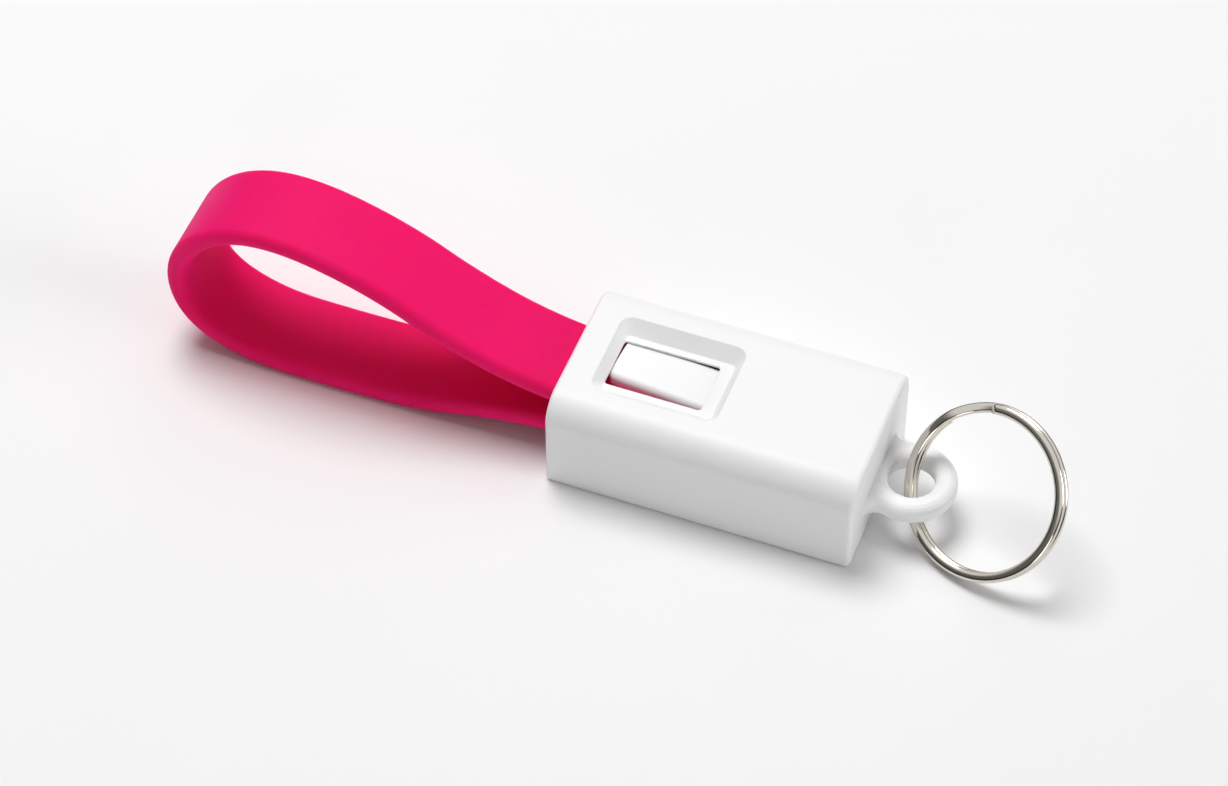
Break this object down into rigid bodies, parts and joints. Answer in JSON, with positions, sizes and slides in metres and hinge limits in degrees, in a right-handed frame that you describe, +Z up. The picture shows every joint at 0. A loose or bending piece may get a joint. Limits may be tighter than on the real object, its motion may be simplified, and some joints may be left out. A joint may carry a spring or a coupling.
{
  "type": "keyring charging cable",
  "caption": "Short flat charging strap looped into a windowed keyring sleeve that holds its plug heads, with a moulded eyelet and a split ring.",
  "frame": {"origin": "middle of the sleeve's underside, on the table", "axes": "+X along the sleeve towards its eyelet, +Z up, the open mouth towards -X"},
  "size_m": [0.1338, 0.0254, 0.0275],
  "materials": {
    "white_shell": "satin",
    "white_grip": "satin",
    "pink_strap": "satin",
    "ring_nickel": "polished",
    "plug_steel": "brushed",
    "tongue_plastic": "matte",
    "core_plastic": "matte",
    "contact_gold": "polished",
    "magnet_plating": "plated"
  },
  "bodies": {
    "holder": {"sleeve": "white_shell", "holder_magnet": "magnet_plating"},
    "cable": {"cable_loop": "pink_strap", "wide_plug_grip": "white_grip", "wide_plug_shell": "plug_steel", "wide_plug_tongue": "tongue_plastic", "wide_plug_core": "core_plastic", "phone_plug_grip": "white_grip", "phone_plug_shell": "plug_steel", "phone_plug_tongue": "tongue_plastic", "phone_plug_core": "core_plastic", "phone_plug_latch_near": "plug_steel", "phone_plug_latch_far": "plug_steel", "wide_plug_contact_1": "contact_gold", "wide_plug_contact_2": "contact_gold", "wide_plug_contact_3": "contact_gold", "wide_plug_contact_4": "contact_gold", "phone_plug_contact_1": "contact_gold", "phone_plug_contact_2": "contact_gold", "phone_plug_contact_3": "contact_gold", "phone_plug_contact_4": "contact_gold", "phone_plug_contact_5": "contact_gold"},
    "ring": {"split_ring": "ring_nickel"}
  },
  "joints": [
    {"name": "cable_pull", "type": "slide", "parent": "holder", "child": "cable", "axis": [1, 0, 0], "range_m": [-0.044, 0]},
    {"name": "ring_swing", "type": "hinge", "parent": "holder", "child": "ring", "pos_m": [0.02725, 0, 0.0064], "axis": [0, 0, 1], "range_deg": [-55, 55]}
  ]
}
